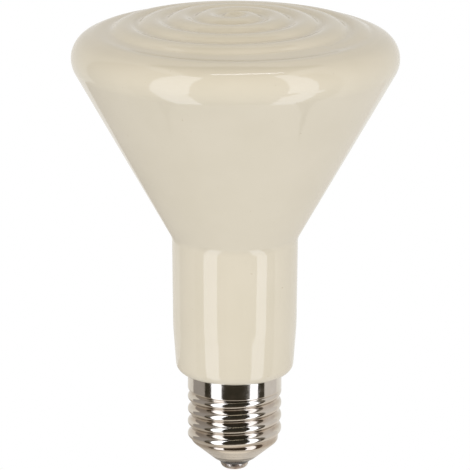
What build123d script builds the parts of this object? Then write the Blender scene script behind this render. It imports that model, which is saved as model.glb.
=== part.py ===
from build123d import *
from math import asin, atan2, cos, degrees, pi, radians, sin, tan
import os

# Ceramic heat emitter with an E27 screw cap.
# Millimetres, +Z up. The origin is the middle of the flat bottom of the centre contact.

# Screw thread of the cap, E27
thread_pitch = 3.629
thread_diameter = 26.2
thread_root_diameter = 24.4
thread_bead_radius = 1.3
thread_half_turns = 7
thread_start_height = 1.65
thread_runout_radius = 10.4

# Cap shell
shell_metal = 0.35
collar_diameter = 26.2
collar_height = 4.65
collar_step_height = 0.6
thread_zone_height = 14.6
shell_cone_height = 5.3
shell_mouth_diameter = 11.8
shell_corner_radius = 1.5

# Glass insulator
insulator_lip_height = 1.2
insulator_land = 0.3
insulator_inside_height = 1.6

# Centre contact and its solder
contact_height = 1.9
contact_diameter = 7.8
contact_edge_radius = 1.6
contact_stem_diameter = 3.2
contact_stem_height = 3.4
contact_hole_diameter = 2.0
contact_solder_height = 1.2

# Lead wires
lead_diameter = 0.8
lead_offset = 4.5
lead_bend_radius = 3.0
lead_solder_depth = 0.7
shell_lead_drop = 2.2
seat_gap = 0.05

# Ceramic neck and spigot
shoulder_overhang = 3.1
lip_radius = 2.95
neck_middle_widening = 2.0
neck_top_widening = 0.5
neck_middle_height = 13.5
neck_middle_round = 60.0
spigot_diameter = 22.4
spigot_height = 6.4
spigot_bore_diameter = 14.0
spigot_bore_height = 6.0
bore_taper_height = 6.0

# Ceramic cone, rim and walls
cone_half_angle = 29.4
cone_fillet = 5.0
rim_diameter = 90.0
rim_radius = 6.8
rim_height = 89.6
body_wall = 5.0
face_wall = 7.0

# Domed face and the land between it and the rim
dome_radius = 154.0
land_round = 42.7
land_start_inset = 2.7
groove_inset = 9.5
groove_flank = 2.5
groove_outer_round = 4.0
groove_inner_round = 2.0

# Spiral ridge on the domed face
ridge_pitch = 7.8
ridge_height = 1.1
ridge_crest_radius = 5.5
ridge_margin = 2.0
ridge_foot_length = 3.0
ridge_lift = 0.15
ridge_end_angle = 90.0
ridge_runout_angle = 42.0
ridge_runout_tilt = 11.0
dimple_radius = 5.5
dimple_depth = 1.3
dimple_left = 0.5
dimple_front = 1.2

# Places that follow from the sizes above
shell_bottom_z = contact_height + insulator_lip_height
thread_zone_z = shell_bottom_z + shell_cone_height
collar_step_z = thread_zone_z + thread_zone_height
collar_z = collar_step_z + collar_step_height
shoulder_z = collar_z + collar_height
spigot_end_z = shoulder_z - spigot_height
rim_z = shoulder_z + rim_height
neck_end_diameter = collar_diameter + 2 * shoulder_overhang
neck_middle_diameter = neck_end_diameter + neck_middle_widening
neck_top_diameter = neck_middle_diameter + neck_top_widening
lead_radius = lead_diameter / 2
contact_hole_radius = contact_hole_diameter / 2
contact_stem_radius = contact_stem_diameter / 2
rim_centre_radius = rim_diameter / 2 - rim_radius
cone_slope = radians(cone_half_angle)

# The crests of the ridge lie on a dome. Outside them, the land runs from that dome into the round
# of the rim without a corner, on a smaller round of its own.
groove_radius = rim_diameter / 2 - groove_inset
land_start_angle = asin((groove_radius - land_start_inset) / dome_radius)
land_centre_radius = (dome_radius - land_round) * sin(land_start_angle)
land_end_angle = asin((rim_centre_radius - land_centre_radius) / (land_round - rim_radius))
land_centre = (land_centre_radius, rim_z - (land_round - rim_radius) * cos(land_end_angle))
face_z = land_centre[1] - (dome_radius - land_round) * cos(land_start_angle) + dome_radius
dome_centre = (0, face_z - dome_radius)
inner_dome_radius = dome_radius - face_wall

# The ridge is a spiral made of half turns. Each half turn is part of a turned shape whose axis
# passes through the dome's centre, so it keeps to the dome. The axis of the half turns in front
# leans to the left and that of the half turns behind leans to the right, each by a quarter of the
# pitch. The waves of the two halves then meet in the XZ plane. The whole spiral is then turned
# to its place on the face.
ridge_turns = int((groove_radius - ridge_margin) / ridge_pitch)
ridge_angle = ridge_pitch / dome_radius
ridge_lean = degrees(ridge_angle / 4)
crest_level = dome_radius
valley_level = crest_level - ridge_height
floor_level = valley_level - ridge_lift
crest_centre_level = crest_level - ridge_crest_radius

# The round of a valley is the one that touches the rounds of the crests beside it
crest_reach = crest_centre_level * cos(ridge_angle / 2)
valley_radius = (
    2 * crest_reach * valley_level + ridge_crest_radius**2 - crest_centre_level**2 - valley_level**2
) / (2 * (valley_level - crest_reach - ridge_crest_radius))


def polar(centre, radius, angle):
    """The point of a circle in the XZ plane, at an angle in radians from the +Z direction."""
    return (centre[0] + radius * sin(angle), centre[1] + radius * cos(angle))


def xz(point):
    """A point (x, z) as a point in space."""
    return (point[0], 0, point[1])


def straight(*points):
    """Straight lines through points of the XZ plane."""
    return Polyline(*[xz(point) for point in points])


def round_line(centre, start, end):
    """The shorter round line about a centre in the XZ plane."""
    to_start = Vector(*xz(start)) - Vector(*xz(centre))
    to_end = Vector(*xz(end)) - Vector(*xz(centre))
    middle = Vector(*xz(centre)) + (to_start + to_end).normalized() * to_start.length
    return ThreePointArc(xz(start), middle, xz(end))


def rounded(face, corners):
    """The face with the corners nearest to the given points rounded, each by its radius."""
    for point, radius in corners:
        corner = face.vertices().sort_by_distance(xz(point))[0]
        face = fillet(corner, radius)
    return face


def turned(outline, corners=(), sweep=360):
    """A closed half outline, its corners rounded, turned about the Z axis."""
    return revolve(rounded(make_face(outline), corners), Axis.Z, sweep)


def cylinder(radius, bottom, top):
    """An upright cylinder on the Z axis, between two heights."""
    return Pos(0, 0, bottom) * Cylinder(radius, top - bottom, align=(Align.CENTER, Align.CENTER, Align.MIN))


def body_outside():
    """The turned outside of the ceramic, with the spigot for the cap and a plain sunk face."""
    rim_centre = (rim_centre_radius, rim_z)
    cone_top = polar(rim_centre, rim_radius, pi / 2 + cone_slope)
    cone_bottom_z = cone_top[1] - (cone_top[0] - neck_top_diameter / 2) / tan(cone_slope)
    cone_bottom = (neck_top_diameter / 2, cone_bottom_z)
    rim_top = polar(rim_centre, rim_radius, land_end_angle)
    floor_edge = polar(dome_centre, floor_level, asin(groove_radius / floor_level))
    land_edge = polar(land_centre, land_round, asin((groove_radius + groove_flank - land_centre[0]) / land_round))
    floor_middle = (0, dome_centre[1] + floor_level)
    lip = (neck_end_diameter / 2, shoulder_z)
    neck_middle = (neck_middle_diameter / 2, shoulder_z + neck_middle_height)
    spigot_radius = spigot_diameter / 2
    outline = [
        straight(floor_middle, (0, spigot_end_z), (spigot_radius, spigot_end_z), (spigot_radius, shoulder_z), lip),
        straight(lip, neck_middle, cone_bottom, cone_top),
        round_line(rim_centre, cone_top, rim_top),
        round_line(land_centre, rim_top, land_edge),
        straight(land_edge, floor_edge),
        round_line(dome_centre, floor_edge, floor_middle),
    ]
    corners = [
        (lip, lip_radius),
        (neck_middle, neck_middle_round),
        (cone_bottom, cone_fillet),
        (land_edge, groove_outer_round),
        (floor_edge, groove_inner_round),
    ]
    return turned(outline, corners)


def body_hollow():
    """The space in the ceramic: a bore through the spigot that opens to the neck and the cone."""
    bore_radius = spigot_bore_diameter / 2
    neck_radius = neck_top_diameter / 2 - body_wall
    cone_top = polar((rim_centre_radius, rim_z), rim_radius - body_wall, pi / 2 + cone_slope)
    bore_top_z = shoulder_z + spigot_bore_height
    neck_top_z = cone_top[1] - (cone_top[0] - neck_radius) / tan(cone_slope)
    lid_radius = cone_top[0] + (face_z - cone_top[1]) * tan(cone_slope)
    outline = straight(
        (0, face_z),
        (0, spigot_end_z),
        (bore_radius, spigot_end_z),
        (bore_radius, bore_top_z),
        (neck_radius, bore_top_z + bore_taper_height),
        (neck_radius, neck_top_z),
        (lid_radius, face_z),
        (0, face_z),
    )
    return turned(outline) & Pos(*xz(dome_centre)) * Sphere(inner_dome_radius)


def crest_centre(angle):
    """The centre of the round of the crest at an angle from the dome's axis."""
    return polar(dome_centre, crest_centre_level, angle)


def valley_centre(angle):
    """The centre of the round of the valley at an angle from the dome's axis."""
    return polar(dome_centre, valley_level + valley_radius, angle)


def flank(crest, side):
    """Where a crest's round meets that of the valley on its outer (1) or inner (-1) side."""
    start = Vector(*crest_centre(crest))
    towards = Vector(*valley_centre(crest + side * ridge_angle / 2)) - start
    point = start + towards.normalized() * ridge_crest_radius
    return (point.X, point.Y)


def foot(crest, side):
    """The end of a crest's flank drawn on, straight, into the ceramic."""
    start = Vector(*flank(crest, side))
    outwards = (start - Vector(*crest_centre(crest))).normalized()
    along = Vector(outwards.Y, -outwards.X) * side * ridge_foot_length
    return (start.X + along.X, start.Y + along.Y)


def crest_line(crest):
    return round_line(crest_centre(crest), flank(crest, -1), flank(crest, 1))


def valley_line(crest):
    """The valley on the outer side of a crest."""
    return round_line(valley_centre(crest + ridge_angle / 2), flank(crest, 1), flank(crest + ridge_angle, -1))


def half_spiral(crests, middle_line):
    """Half of the wave, behind the XZ plane: from its middle line over all crests to the last foot."""
    middle_top = middle_line @ 0
    floor = (0, dome_centre[1] + valley_level - ridge_foot_length)
    outline = [middle_line]
    outline += [crest_line(crest) for crest in crests]
    outline += [valley_line(crest) for crest in crests[:-1]]
    outline += [straight(flank(crests[-1], 1), foot(crests[-1], 1), floor, (0, middle_top.Z))]
    return turned(outline, sweep=180)


def leaned(solid, angle):
    """A solid leaned to the right by an angle in degrees, about the dome's centre."""
    return Pos(*xz(dome_centre)) * Rot(0, angle, 0) * Pos(0, 0, -dome_centre[1]) * solid


def spiral_ridge():
    """The two halves of the spiral, and its last turn, which ends behind and runs out into the land."""
    crests_behind = [ridge_angle * (turn + 0.5) for turn in range(ridge_turns)]
    middle_valley = round_line(valley_centre(0), (0, dome_centre[1] + valley_level), flank(crests_behind[0], -1))
    behind = half_spiral(crests_behind, middle_valley)

    # in front, the spiral starts with a crest in the middle
    crests_in_front = [ridge_angle * (turn + 1) for turn in range(ridge_turns)]
    top = (0, dome_centre[1] + crest_level)
    start_crest = round_line(crest_centre(0), top, flank(0, 1))
    middle_line = Wire([start_crest.edge(), valley_line(0).edge()])
    in_front = Rot(0, 0, 180) * half_spiral(crests_in_front, middle_line)

    # the last turn, drawn on the right and then turned to start on the left
    last = ridge_angle * (ridge_turns + 0.5)
    section = make_face([
        crest_line(last),
        straight(flank(last, 1), foot(last, 1), foot(last, -1), flank(last, -1)),
    ])
    crest_top = polar(dome_centre, crest_level, last)
    tilt = radians(ridge_runout_tilt)
    pivot = (crest_top[0] * (1 - cos(tilt)), crest_top[1] - crest_top[0] * sin(tilt))
    runout = revolve(section, Axis(xz(pivot), (sin(tilt), 0, -cos(tilt))), ridge_runout_angle)
    last_turn = Rot(0, 0, 180) * revolve(section, Axis((0, 0, 0), (0, 0, -1)), ridge_end_angle)
    last_turn += Rot(0, 0, 180 - ridge_end_angle) * runout
    return [leaned(behind, ridge_lean), leaned(in_front, -ridge_lean), leaned(last_turn, ridge_lean)]


def ceramic_body():
    """The glazed ceramic: hollow body with the spiral ridge and a dimple in its middle."""
    body = body_outside() - body_hollow()
    for ridge in spiral_ridge():
        body += Rot(0, 0, -90) * ridge
    dimple_z = face_z + dimple_radius - dimple_depth
    body -= Pos(-dimple_left, -dimple_front, dimple_z) * Sphere(dimple_radius)
    return body


def shell_points(inset):
    """Corners of the shell's outline, from its mouth to the collar's top, moved inwards by inset."""
    mouth = shell_mouth_diameter / 2
    root = thread_root_diameter / 2
    collar = collar_diameter / 2
    cone_angle = atan2(root - mouth, shell_cone_height)
    step_angle = atan2(collar - root, collar_step_height)
    step_shift = inset * tan(step_angle / 2)
    return [
        (mouth - inset / cos(cone_angle), shell_bottom_z),
        (root - inset, thread_zone_z + inset * tan(cone_angle / 2)),
        (root - inset, collar_step_z + step_shift),
        (collar - inset, collar_z + step_shift),
        (collar - inset, shoulder_z),
    ]


def shell_form(inset):
    """The solid that the shell's outline, moved inwards by inset, turns out."""
    points = shell_points(inset)
    outline = straight((0, shell_bottom_z), *points, (0, shoulder_z), (0, shell_bottom_z))
    return turned(outline, [(points[1], shell_corner_radius - inset)])


def thread_beads():
    """The thread as half turns of a round bead, each tilted to rise by half a pitch, and run out."""
    path_radius = thread_diameter / 2 - thread_bead_radius
    start_z = thread_zone_z + thread_start_height
    beads = []
    for index in range(thread_half_turns + 1):
        side = -1 if index % 2 == 0 else 1
        z = start_z + index * thread_pitch / 2
        section = Plane(origin=(side * path_radius, 0, z), z_dir=(0, 1, 0)) * Circle(thread_bead_radius)
        upwards = (side * thread_pitch / 2, 0, 2 * path_radius)
        if index < thread_half_turns:
            turn_axis = Axis((0, 0, z + thread_pitch / 4), upwards)
            beads.append(revolve(section, turn_axis, 180))
        runout_x = side * (path_radius - thread_runout_radius)
        if index == 0:
            beads.append(revolve(section, Axis((runout_x, 0, z), (0, 0, -1)), 90))
        if index == thread_half_turns:
            beads.append(revolve(section, Axis((runout_x, 0, z), (0, 0, 1)), 90))
    return beads


def screw_shell():
    """The rolled cap shell with its thread, open at the top and at the mouth."""
    shell = shell_form(0)
    for bead in thread_beads():
        shell += bead
    return shell - shell_form(shell_metal)


def cap_cement():
    """The cement ring between the ceramic spigot and the collar."""
    collar_inside = shell_points(shell_metal)[3]
    ring = cylinder(collar_inside[0], collar_inside[1], shoulder_z)
    return ring - cylinder(spigot_diameter / 2, collar_inside[1], shoulder_z)


def base_insulator():
    """The glass that fills the bottom of the shell and holds the centre contact."""
    mouth, corner = shell_points(shell_metal)[:2]
    top_z = thread_zone_z + insulator_inside_height
    outline = straight(
        (contact_stem_radius, contact_height),
        (contact_diameter / 2 + insulator_land, contact_height),
        mouth,
        corner,
        (corner[0], top_z),
        (contact_stem_radius, top_z),
        (contact_stem_radius, contact_height),
    )
    return turned(outline, [(corner, shell_corner_radius - shell_metal)])


def centre_contact():
    """The contact plate with a tube stem, open for the lead wire."""
    edge = (contact_diameter / 2, 0)
    stem_top_z = contact_height + contact_stem_height
    outline = straight(
        (contact_hole_radius, 0),
        edge,
        (contact_diameter / 2, contact_height),
        (contact_stem_radius, contact_height),
        (contact_stem_radius, stem_top_z),
        (contact_hole_radius, stem_top_z),
        (contact_hole_radius, 0),
    )
    return turned(outline, [(edge, contact_edge_radius)])


def contact_solder():
    """The solder that closes the contact's hole around the end of the lead."""
    plug = cylinder(contact_hole_radius, 0, contact_solder_height)
    return plug - cylinder(lead_radius, contact_solder_height - lead_solder_depth, contact_solder_height)


def centre_lead():
    """The wire from the contact, straight up to the underside of the face."""
    top_z = dome_centre[1] + inner_dome_radius - seat_gap
    return cylinder(lead_radius, contact_solder_height - lead_solder_depth, top_z)


def shell_lead():
    """The wire that comes down beside the centre lead and turns out to the shell's wall."""
    top_z = dome_centre[1] + (inner_dome_radius**2 - (lead_offset + lead_radius) ** 2) ** 0.5 - seat_gap
    turn_z = spigot_end_z - shell_lead_drop
    wall = thread_root_diameter / 2 - shell_metal - seat_gap
    path = FilletPolyline((lead_offset, 0, top_z), (lead_offset, 0, turn_z), (wall, 0, turn_z), radius=lead_bend_radius)
    section = Plane(origin=path @ 0, z_dir=path % 0) * Circle(lead_radius)
    return sweep(section, path)


parts = {
    "ceramic_body": ceramic_body,
    "cap_cement": cap_cement,
    "screw_shell": screw_shell,
    "base_insulator": base_insulator,
    "centre_contact": centre_contact,
    "contact_solder": contact_solder,
    "centre_lead": centre_lead,
    "shell_lead": shell_lead,
}

os.makedirs("parts", exist_ok=True)
for name, build in parts.items():
    export_step(build(), f"parts/{name}.step")
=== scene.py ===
from math import acos, asin, atan2, cos, hypot, pi, radians, sin, sqrt, tan

import bpy
from mathutils import Matrix, Vector


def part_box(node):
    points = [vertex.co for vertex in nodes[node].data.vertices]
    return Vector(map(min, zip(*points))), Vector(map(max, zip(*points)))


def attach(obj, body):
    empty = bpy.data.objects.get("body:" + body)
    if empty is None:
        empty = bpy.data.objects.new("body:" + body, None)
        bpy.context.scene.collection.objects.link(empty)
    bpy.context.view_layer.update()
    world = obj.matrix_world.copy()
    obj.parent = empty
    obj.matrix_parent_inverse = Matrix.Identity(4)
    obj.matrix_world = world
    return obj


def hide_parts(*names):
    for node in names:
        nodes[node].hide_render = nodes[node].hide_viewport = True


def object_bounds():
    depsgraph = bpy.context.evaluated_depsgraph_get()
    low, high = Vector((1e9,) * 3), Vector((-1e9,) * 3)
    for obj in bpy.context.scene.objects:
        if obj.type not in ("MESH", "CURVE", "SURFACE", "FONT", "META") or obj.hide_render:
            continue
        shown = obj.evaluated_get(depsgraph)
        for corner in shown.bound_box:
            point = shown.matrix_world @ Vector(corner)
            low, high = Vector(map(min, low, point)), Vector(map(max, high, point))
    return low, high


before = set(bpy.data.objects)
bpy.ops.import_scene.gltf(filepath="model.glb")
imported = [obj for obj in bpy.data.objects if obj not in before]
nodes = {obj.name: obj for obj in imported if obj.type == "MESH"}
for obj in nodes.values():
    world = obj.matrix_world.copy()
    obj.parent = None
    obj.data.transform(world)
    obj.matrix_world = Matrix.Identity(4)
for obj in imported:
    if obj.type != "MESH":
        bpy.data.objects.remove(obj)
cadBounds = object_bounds()
shellLow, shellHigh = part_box("screw_shell")
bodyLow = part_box("ceramic_body")[0]
mm = 0.001
bpy.context.scene.view_settings.view_transform = "Standard"


def linear(hexColour):
    # a screen colour, turned to the linear one that the shaders take, with full opacity
    channels = [int(hexColour[i:i + 2], 16) / 255 for i in (1, 3, 5)]
    return [c / 12.92 if c <= 0.04045 else ((c + 0.055) / 1.055) ** 2.4 for c in channels] + [1.0]


def addNode(tree, kind, settings=None, inputs=None, links=None, steps=()):
    # steps: a colour ramp's stops, as position and hex colour
    node = tree.nodes.new(kind)
    for key, value in (settings or {}).items():
        setattr(node, key, value)
    for key, value in (inputs or {}).items():
        node.inputs[key].default_value = value
    for key, socket in (links or {}).items():
        tree.links.new(socket, node.inputs[key])
    while steps and len(node.color_ramp.elements) < len(steps):
        node.color_ramp.elements.new(0.5)
    for i, (position, colour) in enumerate(steps):
        node.color_ramp.elements[i].position = position
        node.color_ramp.elements[i].color = linear(colour)
    return node


def newMaterial(name):
    material = bpy.data.materials.new(name)
    material.use_nodes = True
    material.node_tree.nodes.clear()
    return material, material.node_tree


# Camera: a long lens, a little over the heater, as in the photograph
photoCamera = {
    "imageSize": 470,              # pixels
    "focalLength": 3948.0,         # pixels
    "distance": 1093.3 * mm,       # to the point on the axis
    "elevation": 15.47,            # degrees over the level
    "roll": 0.15,                  # degrees
    "axisHeight": 65.1 * mm,       # height of that point
    "axisPixel": (235.0, 243.2),   # where the point is seen, from the picture's top left
    "sensorWidth": 36.0,           # mm
}


def makeCamera():
    size = photoCamera["imageSize"]
    data = bpy.data.cameras.new("photoCamera")
    data.sensor_width = photoCamera["sensorWidth"]
    data.lens = photoCamera["focalLength"] / size * photoCamera["sensorWidth"]
    data.shift_x = (size / 2 - photoCamera["axisPixel"][0]) / size
    data.shift_y = (photoCamera["axisPixel"][1] - size / 2) / size
    camera = bpy.data.objects.new("photoCamera", data)
    elevation = radians(photoCamera["elevation"])
    away = Vector((0, -cos(elevation), sin(elevation)))
    turn = away.to_track_quat("Z", "Y").to_matrix().to_4x4()
    turn = turn @ Matrix.Rotation(radians(photoCamera["roll"]), 4, "Z")
    place = Vector((0, 0, photoCamera["axisHeight"])) + away * photoCamera["distance"]
    camera.matrix_world = Matrix.Translation(place) @ turn
    bpy.context.scene.collection.objects.link(camera)
    bpy.context.scene.camera = camera


makeCamera()
print("camera made")

# Stage: white paper all round; only shiny surfaces show the softboxes, the strip light and the grey screens
stage = {
    "floorDrop": 250 * mm,     # the heater is held up, this high over the floor
    "floorSize": 12.0,         # m
    "white": "#FFFFFF",
    "paper": "#F2F2F2",
    "warm": "#FFF7E9",
    "fillLow": 0.77,           # strength of the soft light from the floor, from the side and from above
    "fillSide": 1.0,
    "fillHigh": 0.41,
    "fillFront": 0.72,         # how much more comes from the front than from the side
}


def addMesh(name, points, faces):
    mesh = bpy.data.meshes.new(name)
    mesh.from_pydata(points, [], faces)
    piece = bpy.data.objects.new(name, mesh)
    bpy.context.scene.collection.objects.link(piece)
    return piece


def seenByEye(tree):
    # 1 for what the camera sees, itself, in a shine or through glass
    path = addNode(tree, "ShaderNodeLightPath")
    seen = addNode(tree, "ShaderNodeMath", {"operation": "MAXIMUM"},
                   links={0: path.outputs["Is Camera Ray"], 1: path.outputs["Is Glossy Ray"]})
    return addNode(tree, "ShaderNodeMath", {"operation": "MAXIMUM"},
                   links={0: seen.outputs[0], 1: path.outputs["Is Transmission Ray"]})


def onlyInShine(piece):
    piece.visible_camera = False
    piece.visible_diffuse = False
    piece.visible_shadow = False
    piece.visible_transmission = False


def showInShine(piece, name, colour, brightness=1.0):
    # an even tone that only shiny surfaces show
    material, tree = newMaterial(name)
    tone = addNode(tree, "ShaderNodeEmission", inputs={"Color": linear(colour), "Strength": brightness})
    addNode(tree, "ShaderNodeOutputMaterial", links={"Surface": tone.outputs[0]})
    piece.data.materials.append(material)
    onlyInShine(piece)
    return tree, tone


def ringBand(name, start, end, inner, outer):
    # a band round the axis between two (radius, height) edges, from one azimuth to another
    steps = 16
    points = []
    for i in range(steps + 1):
        azimuth = radians(start + (end - start) * i / steps)
        points += [(r * sin(azimuth), -r * cos(azimuth), z) for r, z in (inner, outer)]
    return addMesh(name, points, [(2 * i, 2 * i + 2, 2 * i + 3, 2 * i + 1) for i in range(steps)])


def makeWorld():
    world = bpy.data.worlds.new("studio")
    world.use_nodes = True
    world.cycles.sampling_method = "NONE"
    tree = world.node_tree
    tree.nodes.clear()
    seen = seenByEye(tree)
    place = addNode(tree, "ShaderNodeTexCoord")
    axes = addNode(tree, "ShaderNodeSeparateXYZ", links={0: place.outputs["Generated"]})
    high = addNode(tree, "ShaderNodeMapRange",
                   inputs={"To Min": stage["fillSide"], "To Max": stage["fillHigh"]},
                   links={"Value": axes.outputs["Z"]})
    strength = addNode(tree, "ShaderNodeMath", {"operation": "MULTIPLY_ADD"}, {1: -stage["fillFront"]},
                       {0: axes.outputs["Y"], 2: high.outputs[0]})
    white = addNode(tree, "ShaderNodeBackground", inputs={"Color": linear(stage["white"]), "Strength": 1.0})
    tint = addNode(tree, "ShaderNodeValToRGB", links={"Fac": axes.outputs["Z"]},
                   steps=[(0.0, stage["white"]), (1.0, stage["warm"])])
    fill = addNode(tree, "ShaderNodeBackground",
                   links={"Color": tint.outputs["Color"], "Strength": strength.outputs[0]})
    mix = addNode(tree, "ShaderNodeMixShader",
                  links={0: seen.outputs[0], 1: fill.outputs[0], 2: white.outputs[0]})
    addNode(tree, "ShaderNodeOutputWorld", links={"Surface": mix.outputs[0]})
    bpy.context.scene.world = world


def makeFloor():
    half = stage["floorSize"] / 2
    level = cadBounds[0][2] - stage["floorDrop"]
    corners = [(-half, -half, level), (half, -half, level), (half, half, level), (-half, half, level)]
    floorPaper = addMesh("floorPaper", corners, [(0, 1, 2, 3)])
    material, tree = newMaterial("whitePaper")
    seen = seenByEye(tree)
    paper = addNode(tree, "ShaderNodeEmission",
                    inputs={"Color": linear(stage["paper"]), "Strength": stage["fillLow"]})
    glow = addNode(tree, "ShaderNodeEmission", inputs={"Color": linear(stage["white"]), "Strength": 1.0})
    mix = addNode(tree, "ShaderNodeMixShader",
                  links={0: seen.outputs[0], 1: paper.outputs[0], 2: glow.outputs[0]})
    addNode(tree, "ShaderNodeOutputMaterial", links={"Surface": mix.outputs[0]})
    floorPaper.data.materials.append(material)


def makePanel(name, corners, glow):
    # a lit cloth
    showInShine(addMesh(name, [tuple(c) for c in corners], [(0, 1, 2, 3)]), name + "Cloth", boxCloth, glow)


softboxes = {
    # panels in front; for the low and the high end: azimuth in degrees from straight ahead,
    # height and width in metres
    "left": {"low": (-45.0, -0.06, 0.36), "high": (-45.0, 1.28, 0.34), "glow": 2.65},
    "right": {"low": (46.0, -0.06, 0.28), "high": (52.0, 1.55, 0.2), "glow": 2.5},
    "leftFoot": {"low": (-45, -0.24, 0.32), "high": (-47, -0.06, 0.34), "glow": 2.5},
    "rightFoot": {"low": (46, -0.24, 0.25), "high": (55, -0.06, 0.24), "glow": 2.5},
}
boxDistance = 0.7    # metres
boxCloth = "#EDF2FF"


def makeSoftboxes():
    for name, box in softboxes.items():
        corners = []
        for end, sides in (("low", (-1, 1)), ("high", (1, -1))):
            azimuth, height, width = radians(box[end][0]), box[end][1], box[end][2]
            middle = Vector((sin(azimuth), -cos(azimuth), 0)) * boxDistance + Vector((0, 0, height))
            across = Vector((cos(azimuth), sin(azimuth), 0)) * width / 2
            corners += [middle + across * side for side in sides]
        makePanel(name + "Softbox", corners, box["glow"])


stripLight = {
    # overhead, in metres
    "from": (-0.19, -0.2),
    "to": (0.35, -0.06),
    "width": 0.06,
    "high": 1.12,
    "glow": 8.0,
}


def makeStripLight():
    start, end = [Vector((*stripLight[side], stripLight["high"])) for side in ("from", "to")]
    along = (end - start).normalized()
    aside = Vector((-along.y, along.x, 0)) * stripLight["width"] / 2
    makePanel("stripLight", [start - aside, end - aside, end + aside, start + aside], stripLight["glow"])


blackCard = {
    "radius": 0.8,      # metres
    "sides": [(-0.25, 80), (0.02, 80), (0.1, 56), (0.9, 56)],     # height in metres, half width in degrees
    "lift": 0.9,        # metres, where the roof starts
    "roofEnd": 150,     # degrees, how far it curves over
    "steps": 32,
    "roofSteps": 8,
    "colour": "#35322A",
}


def makeBlackCard():
    # a black screen round the front and overhead, behind the softboxes
    r, steps, lift = blackCard["radius"], blackCard["steps"], blackCard["lift"]
    points, faces = [], []
    columns = steps + 1
    for level, side in blackCard["sides"]:
        for i in range(columns):
            azimuth = radians(side * (2 * i / steps - 1))
            points.append((r * sin(azimuth), -r * cos(azimuth), level))
    for j in range(len(blackCard["sides"]) - 1):
        for i in range(steps):
            corner = j * columns + i
            faces.append((corner, corner + 1, corner + columns + 1, corner + columns))
    top = len(points)
    reach = r * sin(radians(blackCard["sides"][-1][1]))
    roofSteps = blackCard["roofSteps"]
    for j in range(roofSteps + 1):
        turn = radians(blackCard["roofEnd"]) * j / roofSteps
        for side in (-1, 1):
            points.append((side * reach, -r * cos(turn), lift + r * sin(turn)))
    for j in range(roofSteps):
        faces.append((top + 2 * j, top + 2 * j + 1, top + 2 * j + 3, top + 2 * j + 2))
    showInShine(addMesh("blackCard", points, faces), "blackVelvet", blackCard["colour"])


walls = {
    # grey screens round the sides and the back: azimuths in degrees from straight ahead,
    # heights in metres, colour
    "leftDark": (-54, -78, 0.0, 1.2, "#7C766C"),
    "left": (-78, -122, -0.25, 1.2, "#A8A3A0"),
    "leftBack": (-122, -180, -0.25, 1.2, "#F3F0EB"),
    "rightDark": (54, 78, 0.0, 1.2, "#7C766C"),
    "right": (78, 125, -0.25, 1.2, "#E6E3E2"),
    "rightBack": (125, 180, -0.25, 1.2, "#F6F4F0"),
}
wallRadius = 0.75    # metres
table = {
    # metres; its tone changes from left to right over twice the fade
    "radius": 1.3,
    "level": -0.24,
    "left": "#C0B8AE",
    "right": "#EDE7E0",
    "fade": 0.2,
    "fieldLift": 2 * mm,
}
tableFields = {
    # tones laid on the table: azimuths in degrees, distances from the axis in metres, colour, strength
    "near": (-180, 180, 0.0, 0.1, "#FFF6EA", 1.0),
    "dark": (-31, 33, 0.22, 0.8, "#4A4034", 1.0),
    "leftDark": (-80, -59, 0.22, 0.8, "#6A5E50", 1.0),
    "rightDark": (59, 80, 0.22, 0.8, "#6A5E50", 1.0),
    "leftLit": (-59, -31, 0.22, 0.69, "#EDF2FF", 2.4),
    "rightLit": (33, 59, 0.22, 0.69, "#EDF2FF", 2.4),
}


def makeGreyRoom():
    for name, (start, end, low, high, colour) in walls.items():
        wall = ringBand(name + "Wall", start, end, (wallRadius, low), (wallRadius, high))
        showInShine(wall, name + "WallCloth", colour)
    level = table["level"]
    top = ringBand("table", -180, 180, (0.0, level), (table["radius"], level))
    tree, tone = showInShine(top, "tableCloth", table["left"])
    place = addNode(tree, "ShaderNodeTexCoord")
    axes = addNode(tree, "ShaderNodeSeparateXYZ", links={0: place.outputs["Object"]})
    side = addNode(tree, "ShaderNodeMapRange",
                   inputs={"From Min": -table["fade"], "From Max": table["fade"]},
                   links={"Value": axes.outputs["X"]})
    tint = addNode(tree, "ShaderNodeValToRGB", links={"Fac": side.outputs[0]},
                   steps=[(0.0, table["left"]), (1.0, table["right"])])
    tree.links.new(tint.outputs["Color"], tone.inputs["Color"])
    level += table["fieldLift"]
    for name, (start, end, near, far, colour, glow) in tableFields.items():
        field = ringBand(name + "Field", start, end, (near, level), (far, level))
        showInShine(field, name + "FieldCloth", colour, glow)


makeWorld()
makeFloor()
makeSoftboxes()
makeStripLight()
makeBlackCard()
makeGreyRoom()
print("stage made")


# Turned pieces: half outlines in the XZ plane, in metres, with rounded corners
def arcPoints(centre, radius, start, end, steps):
    # from one angle to another, both measured from +X towards +Z
    angles = [start + (end - start) * i / steps for i in range(steps + 1)]
    return [(centre[0] + radius * cos(a), centre[1] + radius * sin(a)) for a in angles]


def roundCorner(before, corner, after, radius, steps):
    back = Vector((before[0] - corner[0], before[1] - corner[1])).normalized()
    on = Vector((after[0] - corner[0], after[1] - corner[1])).normalized()
    half = acos(max(-1, min(1, back.dot(on)))) / 2
    centre = Vector(corner) + (back + on).normalized() * radius / sin(half)
    start = Vector(corner) + back * radius / tan(half) - centre
    end = Vector(corner) + on * radius / tan(half) - centre
    a0, a1 = atan2(start.y, start.x), atan2(end.y, end.x)
    if a1 - a0 > pi:
        a1 -= 2 * pi
    if a1 - a0 < -pi:
        a1 += 2 * pi
    return arcPoints(centre, radius, a0, a1, steps)


def between(start, end, steps):
    # points inside a straight run, without its ends
    return [(start[0] + (end[0] - start[0]) * i / steps, start[1] + (end[1] - start[1]) * i / steps)
            for i in range(1, steps)]


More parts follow.
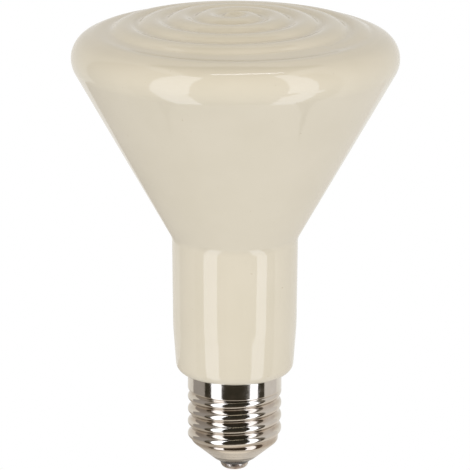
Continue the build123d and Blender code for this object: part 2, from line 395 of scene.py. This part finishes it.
def latheMesh(name, rings, around, closed=False):
    # each ring has a function of the angle that gives its point (r, z); a pole is a point on the axis
    points, starts = [], []
    for ring in rings:
        starts.append(len(points))
        if ring[0] == "pole":
            points.append((0, 0, ring[1]))
            continue
        for k in range(around):
            angle = 2 * pi * k / around
            r, z = ring[1](angle)
            points.append((r * cos(angle), r * sin(angle), z))
    faces = []
    pairs = list(zip(range(len(rings)), range(1, len(rings))))
    if closed:
        pairs.append((len(rings) - 1, 0))
    for i, j in pairs:
        if rings[i][0] == rings[j][0] == "pole":
            continue                      # from the outside to the inside
        a, b = starts[i], starts[j]
        for k in range(around):
            m = (k + 1) % around
            if rings[i][0] == "pole":
                faces.append((a, b + m, b + k))
            elif rings[j][0] == "pole":
                faces.append((a + k, a + m, b))
            else:
                faces.append((a + k, a + m, b + m, b + k))
    piece = addMesh(name, points, faces)
    piece.data.polygons.foreach_set("use_smooth", [True] * len(piece.data.polygons))
    return piece


def plainRing(point):
    return ("ring", lambda angle: point)


# Ceramic body: one glazed casting, hollow, with a spiral ridge on its domed face
ceramic = {
    "around": 288,                  # points round the axis
    "rimDiameter": 90.0 * mm,
    "rimRound": 6.8 * mm,
    "rimHeight": 89.6 * mm,         # from the shoulder to the middle of the rim's round
    "domeRound": 154.0 * mm,        # the dome over the crests of the ridge
    "landRound": 42.7 * mm,         # the land between the spiral and the rim
    "landStart": 32.8 * mm,         # from the axis, where the land's round leaves the dome
    "groove": 35.5 * mm,            # from the axis, where the sunk face meets the land's flank
    "grooveFlank": 2.5 * mm,
    "grooveSoft": 0.7 * mm,         # how softly they meet
    "grooveReach": 8 * mm,          # how far inside the flank the land is still worked out
    "coneAngle": 29.4,              # degrees from the axis
    "neckTop": 34.9 * mm,           # diameters
    "neckMiddle": 34.4 * mm,
    "neckEnd": 32.4 * mm,
    "neckMiddleHeight": 13.5 * mm,
    "neckMiddleRound": 60 * mm,
    "lipRound": 2.95 * mm,
    "coneRound": 5 * mm,
    "spigot": 22.4 * mm,
    "bore": 14 * mm,
    "boreHeight": 6 * mm,
    "boreTaper": 6 * mm,
    "wall": 5 * mm,
    "faceWall": 7 * mm,
    "rimSteps": 26,                 # how finely the round of the rim and the face are divided
    "faceSteps": 124,
}
ridge = {
    "pitch": 7.8 * mm,
    "height": 1.1 * mm,
    "crestRound": 5.5 * mm,
    "valleyRound": 1.96 * mm,
    "lift": 0.15 * mm,
    "start": -0.5,                  # turns, where the crest leaves the axis; 0 is at the right
    "end": 4.0,
    "runout": 0.117,                # turns over which the ridge sinks
    "dimpleRadius": 5.5 * mm,
    "dimpleDepth": 1.3 * mm,
    "dimplePlace": (-0.5 * mm, -1.2 * mm),
    "dimpleSoft": 0.25 * mm,        # how softly its edge meets the ridge
}
shoulderZ = shellHigh.z
rimZ = shoulderZ + ceramic["rimHeight"]
rimCentre = ceramic["rimDiameter"] / 2 - ceramic["rimRound"]
domeRadius, landRadius = ceramic["domeRound"], ceramic["landRound"]
landStart = asin(ceramic["landStart"] / domeRadius)      # angles from the axis
landCentre = (domeRadius - landRadius) * sin(landStart)
landEnd = asin((rimCentre - landCentre) / (landRadius - ceramic["rimRound"]))
landZ = rimZ - (landRadius - ceramic["rimRound"]) * cos(landEnd)
domeZ = landZ - (domeRadius - landRadius) * cos(landStart)
floorRadius = domeRadius - ridge["lift"] - ridge["height"]
landEdge = (rimCentre + ceramic["rimRound"] * sin(landEnd), rimZ + ceramic["rimRound"] * cos(landEnd))


def smoothStep(x):
    x = max(0.0, min(1.0, x))
    return x * x * (3 - 2 * x)


def softMin(a, b, width):
    h = max(0.0, min(1.0, 0.5 + 0.5 * (b - a) / width))
    return b + (a - b) * h - width * h * (1 - h)


def waveHeight(d):
    # the ridge's section: a round crest that runs into round valleys, half a pitch away
    half = ridge["pitch"] / 2
    reach = half * ridge["crestRound"] / (ridge["crestRound"] + ridge["valleyRound"])
    d = min(abs(d), half)
    if d < reach:
        return ridge["lift"] + ridge["height"] - ridge["crestRound"] + sqrt(ridge["crestRound"] ** 2 - d * d)
    return ridge["lift"] + ridge["valleyRound"] - sqrt(ridge["valleyRound"] ** 2 - (half - d) ** 2)


def ridgeHeight(s, angle):
    # s: along the dome from its top, in metres; angle: from +X towards +Y
    turn = (-angle / (2 * pi)) % 1.0          # the ridge grows clockwise, seen from above
    pitch = ridge["pitch"]
    best = None
    for n in range(-1, int(ridge["end"]) + 2):
        t = n + turn
        if t < ridge["start"] - 0.5 or t > ridge["end"] + ridge["runout"]:
            continue
        out = max(0.0, (t - ridge["end"]) / ridge["runout"])
        d = s - pitch * (t - ridge["start"])
        if best is None or abs(d) < abs(best[0]):
            best = (d, 1 - smoothStep(out))
    d, strength = best
    height = waveHeight(d) * strength
    if d > pitch / 2:                          # outside the last turn
        height = ridge["lift"] * strength * (1 - smoothStep((d - pitch / 2) / pitch))
    top = ridge["lift"] + ridge["height"]
    x, y = s * cos(angle) - ridge["dimplePlace"][0], s * sin(angle) - ridge["dimplePlace"][1]
    rho = hypot(x, y)
    if rho < ridge["dimpleRadius"] * 0.99:
        hollow = ridge["dimpleRadius"] - sqrt(ridge["dimpleRadius"] ** 2 - rho ** 2)
        dimple = top - ridge["dimpleDepth"] + hollow
        height = softMin(height, dimple, ridge["dimpleSoft"])
    return height


def landLevel(polar):
    # how far the land and its inner flank stand from the dome's centre
    fromZ = landZ - domeZ
    reach, lean = hypot(landCentre, fromZ), atan2(landCentre, fromZ)
    aside = reach * sin(polar - lean)
    land = reach * cos(polar - lean) + sqrt(landRadius ** 2 - aside ** 2)
    flankTop = ceramic["groove"] + ceramic["grooveFlank"]
    r = domeRadius * sin(polar)
    drop = (flankTop - r) * (ridge["height"] + ridge["lift"]) / ceramic["grooveFlank"]
    return softMin(land, land - drop, ceramic["grooveSoft"])


def domeRing(polar):
    outwards = domeRadius * sin(polar) > ceramic["groove"] - ceramic["grooveReach"]
    land = landLevel(polar) if outwards else 0.0

    def point(angle):
        floor = floorRadius + ridgeHeight(polar * domeRadius, angle)
        level = -softMin(-floor, -land, ceramic["grooveSoft"])
        return level * sin(polar), domeZ + level * cos(polar)
    return ("ring", point)


def rimArc(steps):
    # the rim's round from the cone to the land
    start, end = -radians(ceramic["coneAngle"]), pi / 2 - landEnd
    return arcPoints((rimCentre, rimZ), ceramic["rimRound"], start, end, steps)


def outerRings():
    # from the spigot's end up to the top of the face
    cone = radians(ceramic["coneAngle"])
    spigot = ceramic["spigot"] / 2
    coneTop = (rimCentre + ceramic["rimRound"] * cos(cone), rimZ - ceramic["rimRound"] * sin(cone))
    neckTop = ceramic["neckTop"] / 2
    coneLow = (neckTop, coneTop[1] - (coneTop[0] - neckTop) / tan(cone))
    lip = (ceramic["neckEnd"] / 2, shoulderZ)
    middle = (ceramic["neckMiddle"] / 2, shoulderZ + ceramic["neckMiddleHeight"])
    lipArc = roundCorner((spigot, shoulderZ), lip, middle, ceramic["lipRound"], 12)
    middleArc = roundCorner(lip, middle, coneLow, ceramic["neckMiddleRound"], 6)
    coneArc = roundCorner(middle, coneLow, coneTop, ceramic["coneRound"], 12)
    rings = [plainRing((spigot, bodyLow.z)), plainRing((spigot, shoulderZ))]
    outside = lipArc + between(lipArc[-1], middleArc[0], 3) + middleArc
    outside += between(middleArc[-1], coneArc[0], 8) + coneArc + between(coneArc[-1], coneTop, 14)
    rings += [plainRing(p) for p in outside]
    rings += [plainRing(p) for p in rimArc(ceramic["rimSteps"])]
    edge = atan2(landEdge[0], landEdge[1] - domeZ)
    steps = ceramic["faceSteps"]
    rings += [domeRing(edge * (1 - i / steps)) for i in range(1, steps)]
    top = floorRadius + ridgeHeight(0, 0)
    rings.append(("pole", domeZ + top))
    return rings


def innerRings():
    # from the top of the hollow back down to the bore's mouth
    cone = radians(ceramic["coneAngle"])
    innerRadius = domeRadius - ceramic["faceWall"]
    bore = ceramic["bore"] / 2
    neckIn = ceramic["neckTop"] / 2 - ceramic["wall"]
    wallTop = (rimCentre + (ceramic["rimRound"] - ceramic["wall"]) * cos(cone),
               rimZ - (ceramic["rimRound"] - ceramic["wall"]) * sin(cone))
    boreTop = shoulderZ + ceramic["boreHeight"]
    neckInTop = wallTop[1] - (wallTop[0] - neckIn) / tan(cone)
    slope = tan(cone)
    low, high = 0.0, 0.5                       # where the cone's inside meets the inner dome
    for _ in range(50):
        mid = (low + high) / 2
        r, z = innerRadius * sin(mid), domeZ + innerRadius * cos(mid)
        if r < wallTop[0] + (z - wallTop[1]) * slope:
            low = mid
        else:
            high = mid
    ceiling = 10
    inner = []
    for i in range(1, ceiling + 1):
        polar = low * i / ceiling
        inner.append((innerRadius * sin(polar), domeZ + innerRadius * cos(polar)))
    inner += [(neckIn, neckInTop), (neckIn, boreTop + ceramic["boreTaper"])]
    inner += [(bore, boreTop), (bore, bodyLow.z)]
    return [("pole", domeZ + innerRadius)] + [plainRing(p) for p in inner]


def makeCeramic():
    piece = latheMesh("glazedBody", outerRings() + innerRings(), ceramic["around"], closed=True)
    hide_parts("ceramic_body")
    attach(piece, "root")
    return piece


# Screw shell: one rolled sheet with the thread pressed into it
shell = {
    "around": 192,
    "rows": 128,
    "metal": 0.35 * mm,
    "crest": 26.2 * mm,             # diameters
    "root": 24.4 * mm,
    "mouth": 11.8 * mm,
    "pitch": 3.629 * mm,
    "coneHeight": 5.3 * mm,
    "cornerRound": 1.5 * mm,
    "threadStart": 1.65 * mm,       # from the cone to the first crest, on the left
    "halfTurns": 7,
    "fadeTurns": 0.25,
    "collarHeight": 4.65 * mm,
    "stepHeight": 0.9 * mm,
}


def threadRadius(z, angle):
    root, crest = shell["root"] / 2, shell["crest"] / 2
    depth = crest - root
    pitch = shell["pitch"]
    quarter = (pitch / 2) ** 2
    bead = (quarter + depth ** 2) / (4 * depth)     # round of the crests and of the valleys
    zoneLow = shellLow.z + shell["coneHeight"]
    firstZ = zoneLow + shell["threadStart"]
    turn = ((angle - pi) / (2 * pi)) % 1.0
    t = (z - firstZ) / pitch
    n = round(t - turn)
    place = n + turn                                # turns along the thread of the nearest crest
    last = shell["halfTurns"] / 2
    strength = smoothStep((place + shell["fadeTurns"]) / shell["fadeTurns"])
    if place > last:
        strength *= 1 - smoothStep((place - last) / shell["fadeTurns"])
    d = abs(t - place) * pitch
    if d < pitch / 4:
        height = depth - bead + sqrt(bead ** 2 - d * d)
    else:
        height = bead - sqrt(max(0, bead ** 2 - (pitch / 2 - d) ** 2))
    stepZ = shellHigh.z - shell["collarHeight"] - shell["stepHeight"]
    collar = smoothStep((z - stepZ) / shell["stepHeight"])
    return root + max(height * strength, depth * collar)


def shellProfile(inset):
    # below the thread: the cone and its corner; above it: rows of the thread and the collar
    root, mouth = shell["root"] / 2, shell["mouth"] / 2
    slope = atan2(root - mouth, shell["coneHeight"])
    corner = (root - inset, shellLow.z + shell["coneHeight"] + inset * tan(slope / 2))
    start = (mouth - inset / cos(slope), shellLow.z)
    above = (root - inset, shellHigh.z)
    arc = roundCorner(start, corner, above, shell["cornerRound"] - inset, 8)
    rings = [plainRing(p) for p in [start] + between(start, arc[0], 5) + arc]
    first = arc[-1][1]
    for i in range(1, shell["rows"] + 1):
        z = first + (shellHigh.z - first) * i / shell["rows"]
        rings.append(("ring", lambda angle, z=z: (threadRadius(z, angle) - inset, z)))
    return rings


def makeShell():
    outer = shellProfile(0)
    inner = shellProfile(shell["metal"])
    piece = latheMesh("rolledShell", outer + inner[::-1], shell["around"], closed=True)
    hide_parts("screw_shell")
    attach(piece, "root")
    return piece


glazedBody = makeCeramic()
print("ceramic body made")
rolledShell = makeShell()
print("screw shell made")


# Materials. Each size is that of the real clouds, grains or lines, unless its note says otherwise.
glaze = {
    "cream": [(0.3, "#E5DDCA"), (0.7, "#E9E1CF")],
    "cloudSize": 18 * mm,
    "speckSize": 1.1 * mm,
    "speckRange": (0.79, 0.84),     # how rare the specks are
    "speckStrength": 0.35,
    "speck": "#B79F78",
    "waveSize": 9 * mm,             # waviness of the dipped coat
    "waveDepth": 0.1 * mm,
    "waveStrength": 0.12,
    "roughness": 0.03,
    "ior": 1.5,
}


def glazedPorcelain():
    # Slip-cast cordierite porcelain, dipped in clear glaze and fired once. The cream of the body shows
    # through a hard, wet-looking gloss; the slight waviness of the dipped coat makes the lights' edges
    # swim, and iron in the clay leaves faint warm clouds and a few pinhead specks.
    material, tree = newMaterial("glazedPorcelain")
    place = addNode(tree, "ShaderNodeTexCoord")
    where = {"Vector": place.outputs["Object"]}
    clouds = addNode(tree, "ShaderNodeTexNoise", inputs={"Scale": 1 / glaze["cloudSize"], "Detail": 3.0},
                     links=where)
    cream = addNode(tree, "ShaderNodeValToRGB", links={"Fac": clouds.outputs["Fac"]}, steps=glaze["cream"])
    dots = addNode(tree, "ShaderNodeTexNoise", inputs={"Scale": 1 / glaze["speckSize"], "Detail": 1.0},
                   links=where)
    low, high = glaze["speckRange"]
    specks = addNode(tree, "ShaderNodeMapRange",
                     inputs={"From Min": low, "From Max": high, "To Max": glaze["speckStrength"]},
                     links={"Value": dots.outputs["Fac"]})
    colour = addNode(tree, "ShaderNodeMix", {"data_type": "RGBA"}, {7: linear(glaze["speck"])},
                     {0: specks.outputs[0], 6: cream.outputs["Color"]})
    waves = addNode(tree, "ShaderNodeTexNoise", inputs={"Scale": 1 / glaze["waveSize"], "Detail": 2.0},
                    links=where)
    relief = addNode(tree, "ShaderNodeBump",
                     inputs={"Distance": glaze["waveDepth"], "Strength": glaze["waveStrength"]},
                     links={"Height": waves.outputs["Fac"]})
    coat = addNode(tree, "ShaderNodeBsdfPrincipled",
                   inputs={"Roughness": glaze["roughness"], "IOR": glaze["ior"]},
                   links={"Base Color": colour.outputs[2], "Normal": relief.outputs["Normal"]})
    addNode(tree, "ShaderNodeOutputMaterial", links={"Surface": coat.outputs["BSDF"]})
    return material


plating = {
    "nickel": [(0.3, "#CFC8BD"), (0.7, "#D8D2C8")],
    "cloudSize": 3.5 * mm,
    # painted shade: a brown reflection and shade laid into the thread's valleys
    "paintedValleyShade": "#A3907B",
    "paintedShadeRange": (12.95 * mm, 12.25 * mm),   # from the axis: none and full
    "paintedShadeSpread": (0.2, 0.7),
    "coneTopBlend": 0.5 * mm,        # over which it begins, above the cone
    # painted reflection: a grey band and a dark line round the cone's mouth, multiplied into the plating's
    # colour
    "rim": [(0.0, "#B0ADA8"), (0.58, "#B0ADA8"), (0.62, "#6E685E"), (0.7, "#FFFFFF")],
    "rimHeight": 2.0 * mm,
    "smearSize": 2.2 * mm,
    "roughness": (0.06, 0.17),
    "ringSize": 0.7 * mm,           # rolling lines of about 0.1 mm, drawn coarser so that they show
    "ringDepth": 0.25 * mm,
    "ringStrength": 1.0,
}


def polishedNickel():
    # Brass sheet drawn and thread-rolled, then bright nickel plated. The plating mirrors the room; a painted
    # brown reflection and shade darkens the thread's valleys, a painted dark reflection lies round the rim
    # at the glass, and the rolling left very fine rings that draw the reflections out across the cone.
    material, tree = newMaterial("polishedNickel")
    place = addNode(tree, "ShaderNodeTexCoord")
    where = {"Vector": place.outputs["Object"]}
    axes = addNode(tree, "ShaderNodeSeparateXYZ", links={0: place.outputs["Object"]})
    flat = addNode(tree, "ShaderNodeVectorMath", {"operation": "MULTIPLY"}, {1: (1, 1, 0)},
                   {0: place.outputs["Object"]})
    radius = addNode(tree, "ShaderNodeVectorMath", {"operation": "LENGTH"}, links={0: flat.outputs[0]})
    clouds = addNode(tree, "ShaderNodeTexNoise", inputs={"Scale": 1 / plating["cloudSize"], "Detail": 4.0},
                     links=where)
    plate = addNode(tree, "ShaderNodeValToRGB", links={"Fac": clouds.outputs["Fac"]},
                    steps=plating["nickel"])
    # painted shade: the thread's valleys turn brown near the root radius and above the cone, by cloudy
    # amounts
    none, full = plating["paintedShadeRange"]
    valley = addNode(tree, "ShaderNodeMapRange", inputs={"From Min": none, "From Max": full},
                     links={"Value": radius.outputs["Value"]})
    coneTop = shellLow.z + shell["coneHeight"]
    edge = plating["coneTopBlend"]
    onThread = addNode(tree, "ShaderNodeMapRange",
                       inputs={"From Min": coneTop - edge, "From Max": coneTop + edge},
                       links={"Value": axes.outputs["Z"]})
    least, most = plating["paintedShadeSpread"]
    spread = addNode(tree, "ShaderNodeMapRange",
                     inputs={"From Min": 0.3, "From Max": 0.65, "To Min": least, "To Max": most},
                     links={"Value": clouds.outputs["Fac"]})
    valleyShadeMask = addNode(tree, "ShaderNodeMath", {"operation": "MULTIPLY"},
                   links={0: valley.outputs[0], 1: onThread.outputs[0]})
    brown = addNode(tree, "ShaderNodeMath", {"operation": "MULTIPLY"},
                    links={0: valleyShadeMask.outputs[0], 1: spread.outputs[0]})
    shadedPlate = addNode(tree, "ShaderNodeMix", {"data_type": "RGBA"}, {7: linear(plating["paintedValleyShade"])},
                        {0: brown.outputs[0], 6: plate.outputs["Color"]})
    # painted reflection: a grey band and a dark line over the lowest 2 mm of the cone, at the glass
    upRim = addNode(tree, "ShaderNodeMapRange",
                    inputs={"From Min": shellLow.z, "From Max": shellLow.z + plating["rimHeight"]},
                    links={"Value": axes.outputs["Z"]})
    flux = addNode(tree, "ShaderNodeValToRGB", links={"Fac": upRim.outputs[0]}, steps=plating["rim"])
    colour = addNode(tree, "ShaderNodeMix", {"data_type": "RGBA", "blend_type": "MULTIPLY"}, {0: 1.0},
                     {6: shadedPlate.outputs[2], 7: flux.outputs["Color"]})
    smears = addNode(tree, "ShaderNodeTexNoise", inputs={"Scale": 1 / plating["smearSize"], "Detail": 5.0},
                     links=where)
    smooth, dull = plating["roughness"]
    haze = addNode(tree, "ShaderNodeMapRange",
                   inputs={"From Min": 0.3, "From Max": 0.8, "To Min": smooth, "To Max": dull},
                   links={"Value": smears.outputs["Fac"]})
    onCone = addNode(tree, "ShaderNodeMapRange",
                     inputs={"From Min": coneTop, "From Max": coneTop - 2 * edge},
                     links={"Value": axes.outputs["Z"]})
    height = addNode(tree, "ShaderNodeCombineXYZ", links={2: axes.outputs["Z"]})
    rings = addNode(tree, "ShaderNodeTexNoise", inputs={"Scale": 1 / plating["ringSize"], "Detail": 3.0},
                    links={"Vector": height.outputs[0]})
    lines = addNode(tree, "ShaderNodeMath", {"operation": "MULTIPLY"},
                    links={0: rings.outputs["Fac"], 1: onCone.outputs[0]})
    relief = addNode(tree, "ShaderNodeBump",
                     inputs={"Distance": plating["ringDepth"], "Strength": plating["ringStrength"]},
                     links={"Height": lines.outputs[0]})
    metal = addNode(tree, "ShaderNodeBsdfPrincipled", inputs={"Metallic": 1.0},
                    links={"Base Color": colour.outputs[2], "Roughness": haze.outputs[0],
                           "Normal": relief.outputs["Normal"]})
    addNode(tree, "ShaderNodeOutputMaterial", links={"Surface": metal.outputs["BSDF"]})
    return material


vitrite = {
    "black": [(0.35, "#171617"), (0.75, "#2E2D2C")],
    "bloomSize": 1.6 * mm,
    "roughness": (0.12, 0.3),
    "smearSize": 0.9 * mm,
    "rippleSize": 2.5 * mm,
    "rippleDepth": 0.08 * mm,
    "rippleStrength": 0.4,
    "ior": 1.55,
}


def blackVitrite():
    # Lead glass coloured nearly black with manganese, pressed hot into the shell. Fire-polished, so it has
    # the deep gloss of glass, with flow ripples and a greyish bloom from handling.
    material, tree = newMaterial("blackVitrite")
    place = addNode(tree, "ShaderNodeTexCoord")
    where = {"Vector": place.outputs["Object"]}
    bloom = addNode(tree, "ShaderNodeTexNoise", inputs={"Scale": 1 / vitrite["bloomSize"], "Detail": 4.0},
                    links=where)
    black = addNode(tree, "ShaderNodeValToRGB", links={"Fac": bloom.outputs["Fac"]}, steps=vitrite["black"])
    smears = addNode(tree, "ShaderNodeTexNoise", inputs={"Scale": 1 / vitrite["smearSize"], "Detail": 3.0},
                     links=where)
    smooth, dull = vitrite["roughness"]
    haze = addNode(tree, "ShaderNodeMapRange",
                   inputs={"From Min": 0.3, "From Max": 0.7, "To Min": smooth, "To Max": dull},
                   links={"Value": smears.outputs["Fac"]})
    ripples = addNode(tree, "ShaderNodeTexNoise",
                      inputs={"Scale": 1 / vitrite["rippleSize"], "Detail": 2.0}, links=where)
    relief = addNode(tree, "ShaderNodeBump",
                     inputs={"Distance": vitrite["rippleDepth"], "Strength": vitrite["rippleStrength"]},
                     links={"Height": ripples.outputs["Fac"]})
    glass = addNode(tree, "ShaderNodeBsdfPrincipled", inputs={"IOR": vitrite["ior"]},
                    links={"Base Color": black.outputs["Color"], "Roughness": haze.outputs[0],
                           "Normal": relief.outputs["Normal"]})
    addNode(tree, "ShaderNodeOutputMaterial", links={"Surface": glass.outputs["BSDF"]})
    return material


tin = {
    "silver": [(0.3, "#A39C93"), (0.7, "#CBC4BA")],
    "silverSize": 2.4 * mm,
    "burn": "#7C614C",
    "burnSize": 1.5 * mm,
    "burnRange": (0.46, 0.6),
    "burnStrength": 0.7,
    "roughness": (0.22, 0.5),
    "rippleSize": 1.2 * mm,
    "rippleDepth": 0.12 * mm,
    "rippleStrength": 0.5,
}


def tinnedContact():
    # Brass eyelet dipped in soft tin solder. The tin gives a dull silver sheen; the heat and the flux have
    # left brown blotches, and the dip froze with small ripples.
    material, tree = newMaterial("tinnedContact")
    place = addNode(tree, "ShaderNodeTexCoord")
    where = {"Vector": place.outputs["Object"]}
    clouds = addNode(tree, "ShaderNodeTexNoise", inputs={"Scale": 1 / tin["silverSize"], "Detail": 3.0},
                     links=where)
    silver = addNode(tree, "ShaderNodeValToRGB", links={"Fac": clouds.outputs["Fac"]}, steps=tin["silver"])
    blots = addNode(tree, "ShaderNodeTexNoise",
                    inputs={"Scale": 1 / tin["burnSize"], "Detail": 4.0, "Roughness": 0.6}, links=where)
    low, high = tin["burnRange"]
    burn = addNode(tree, "ShaderNodeMapRange",
                   inputs={"From Min": low, "From Max": high, "To Max": tin["burnStrength"]},
                   links={"Value": blots.outputs["Fac"]})
    colour = addNode(tree, "ShaderNodeMix", {"data_type": "RGBA"}, {7: linear(tin["burn"])},
                     {0: burn.outputs[0], 6: silver.outputs["Color"]})
    smooth, dull = tin["roughness"]
    haze = addNode(tree, "ShaderNodeMapRange",
                   inputs={"From Min": low, "From Max": high, "To Min": smooth, "To Max": dull},
                   links={"Value": blots.outputs["Fac"]})
    ripples = addNode(tree, "ShaderNodeTexNoise", inputs={"Scale": 1 / tin["rippleSize"], "Detail": 3.0},
                      links=where)
    relief = addNode(tree, "ShaderNodeBump",
                     inputs={"Distance": tin["rippleDepth"], "Strength": tin["rippleStrength"]},
                     links={"Height": ripples.outputs["Fac"]})
    metal = addNode(tree, "ShaderNodeBsdfPrincipled", inputs={"Metallic": 1.0},
                    links={"Base Color": colour.outputs[2], "Roughness": haze.outputs[0],
                           "Normal": relief.outputs["Normal"]})
    addNode(tree, "ShaderNodeOutputMaterial", links={"Surface": metal.outputs["BSDF"]})
    return material


solderSkin = {
    "grey": [(0.35, "#A5A39C"), (0.65, "#CDCBC4")],
    "grainSize": 0.6 * mm,
    "flux": "#8A6A45",
    "fluxRange": (0.75 * mm, 1.0 * mm),         # from the axis
    "fluxStrength": 0.7,
    "roughness": 0.38,
    "dimpleSize": 0.5 * mm,
    "dimpleDepth": 0.08 * mm,
    "dimpleStrength": 0.6,
}


def softSolder():
    # Tin-lead solder melted into the eyelet. It set with a satin skin, crystal grains and a ring of
    # amber flux.
    material, tree = newMaterial("softSolder")
    place = addNode(tree, "ShaderNodeTexCoord")
    where = {"Vector": place.outputs["Object"]}
    flat = addNode(tree, "ShaderNodeVectorMath", {"operation": "MULTIPLY"}, {1: (1, 1, 0)},
                   {0: place.outputs["Object"]})
    radius = addNode(tree, "ShaderNodeVectorMath", {"operation": "LENGTH"}, links={0: flat.outputs[0]})
    grains = addNode(tree, "ShaderNodeTexNoise",
                     inputs={"Scale": 1 / solderSkin["grainSize"], "Detail": 5.0}, links=where)
    grey = addNode(tree, "ShaderNodeValToRGB", links={"Fac": grains.outputs["Fac"]},
                   steps=solderSkin["grey"])
    low, high = solderSkin["fluxRange"]
    amber = addNode(tree, "ShaderNodeMapRange",
                    inputs={"From Min": low, "From Max": high, "To Max": solderSkin["fluxStrength"]},
                    links={"Value": radius.outputs["Value"]})
    colour = addNode(tree, "ShaderNodeMix", {"data_type": "RGBA"}, {7: linear(solderSkin["flux"])},
                     {0: amber.outputs[0], 6: grey.outputs["Color"]})
    dimples = addNode(tree, "ShaderNodeTexNoise",
                      inputs={"Scale": 1 / solderSkin["dimpleSize"], "Detail": 4.0}, links=where)
    relief = addNode(tree, "ShaderNodeBump",
                     inputs={"Distance": solderSkin["dimpleDepth"],
                             "Strength": solderSkin["dimpleStrength"]},
                     links={"Height": dimples.outputs["Fac"]})
    metal = addNode(tree, "ShaderNodeBsdfPrincipled",
                    inputs={"Metallic": 1.0, "Roughness": solderSkin["roughness"]},
                    links={"Base Color": colour.outputs[2], "Normal": relief.outputs["Normal"]})
    addNode(tree, "ShaderNodeOutputMaterial", links={"Surface": metal.outputs["BSDF"]})
    return material


cement = {
    "grains": [(0.35, "#9A9183"), (0.5, "#BDB5A6"), (0.68, "#CFC8BA")],
    "grainSize": 0.5 * mm,
    "roughness": 0.93,
    "pitSize": 0.7 * mm,
    "pitDepth": 0.2 * mm,
    "pitStrength": 0.8,
}


def refractoryCement():
    # Magnesia cement pressed in as a paste and cured. Chalky and matt: grains of sand show darker, and the
    # surface is pitted where air bubbles broke.
    material, tree = newMaterial("refractoryCement")
    place = addNode(tree, "ShaderNodeTexCoord")
    where = {"Vector": place.outputs["Object"]}
    sand = addNode(tree, "ShaderNodeTexNoise",
                   inputs={"Scale": 1 / cement["grainSize"], "Detail": 6.0, "Roughness": 0.65}, links=where)
    colour = addNode(tree, "ShaderNodeValToRGB", links={"Fac": sand.outputs["Fac"]}, steps=cement["grains"])
    pits = addNode(tree, "ShaderNodeTexNoise", inputs={"Scale": 1 / cement["pitSize"], "Detail": 6.0},
                   links=where)
    relief = addNode(tree, "ShaderNodeBump",
                     inputs={"Distance": cement["pitDepth"], "Strength": cement["pitStrength"]},
                     links={"Height": pits.outputs["Fac"]})
    chalk = addNode(tree, "ShaderNodeBsdfPrincipled", inputs={"Roughness": cement["roughness"]},
                    links={"Base Color": colour.outputs["Color"], "Normal": relief.outputs["Normal"]})
    addNode(tree, "ShaderNodeOutputMaterial", links={"Surface": chalk.outputs["BSDF"]})
    return material


wire = {
    "nickel": [(0.35, "#AAA59D"), (0.7, "#B5A88F")],
    "strawSize": 6 * mm,
    "lineSize": 0.12 * mm,          # across the wire
    "lineStretch": 0.02,
    "lineDepth": 0.02 * mm,
    "lineStrength": 0.5,
    "roughness": 0.32,
}


def drawnNickelWire():
    # Pure nickel drawn through a die and annealed. A soft grey sheen with fine lengthwise die lines and a
    # faint straw tint from the heat.
    material, tree = newMaterial("drawnNickelWire")
    place = addNode(tree, "ShaderNodeTexCoord")
    tints = addNode(tree, "ShaderNodeTexNoise", inputs={"Scale": 1 / wire["strawSize"], "Detail": 3.0},
                    links={"Vector": place.outputs["Object"]})
    colour = addNode(tree, "ShaderNodeValToRGB", links={"Fac": tints.outputs["Fac"]}, steps=wire["nickel"])
    stretch = addNode(tree, "ShaderNodeMapping", inputs={"Scale": (1.0, 1.0, wire["lineStretch"])},
                      links={"Vector": place.outputs["Object"]})
    lines = addNode(tree, "ShaderNodeTexNoise", inputs={"Scale": 1 / wire["lineSize"], "Detail": 2.0},
                    links={"Vector": stretch.outputs[0]})
    relief = addNode(tree, "ShaderNodeBump",
                     inputs={"Distance": wire["lineDepth"], "Strength": wire["lineStrength"]},
                     links={"Height": lines.outputs["Fac"]})
    metal = addNode(tree, "ShaderNodeBsdfPrincipled",
                    inputs={"Metallic": 1.0, "Roughness": wire["roughness"]},
                    links={"Base Color": colour.outputs["Color"], "Normal": relief.outputs["Normal"]})
    addNode(tree, "ShaderNodeOutputMaterial", links={"Surface": metal.outputs["BSDF"]})
    return material


def dress(piece, material):
    piece.data.materials.clear()
    piece.data.materials.append(material)


leadWire = drawnNickelWire()
finishes = {
    "cap_cement": refractoryCement(),
    "base_insulator": blackVitrite(),
    "centre_contact": tinnedContact(),
    "contact_solder": softSolder(),
    "centre_lead": leadWire,
    "shell_lead": leadWire,
}
dress(glazedBody, glazedPorcelain())
dress(rolledShell, polishedNickel())
for name, material in finishes.items():
    dress(nodes[name], material)
print("materials made")
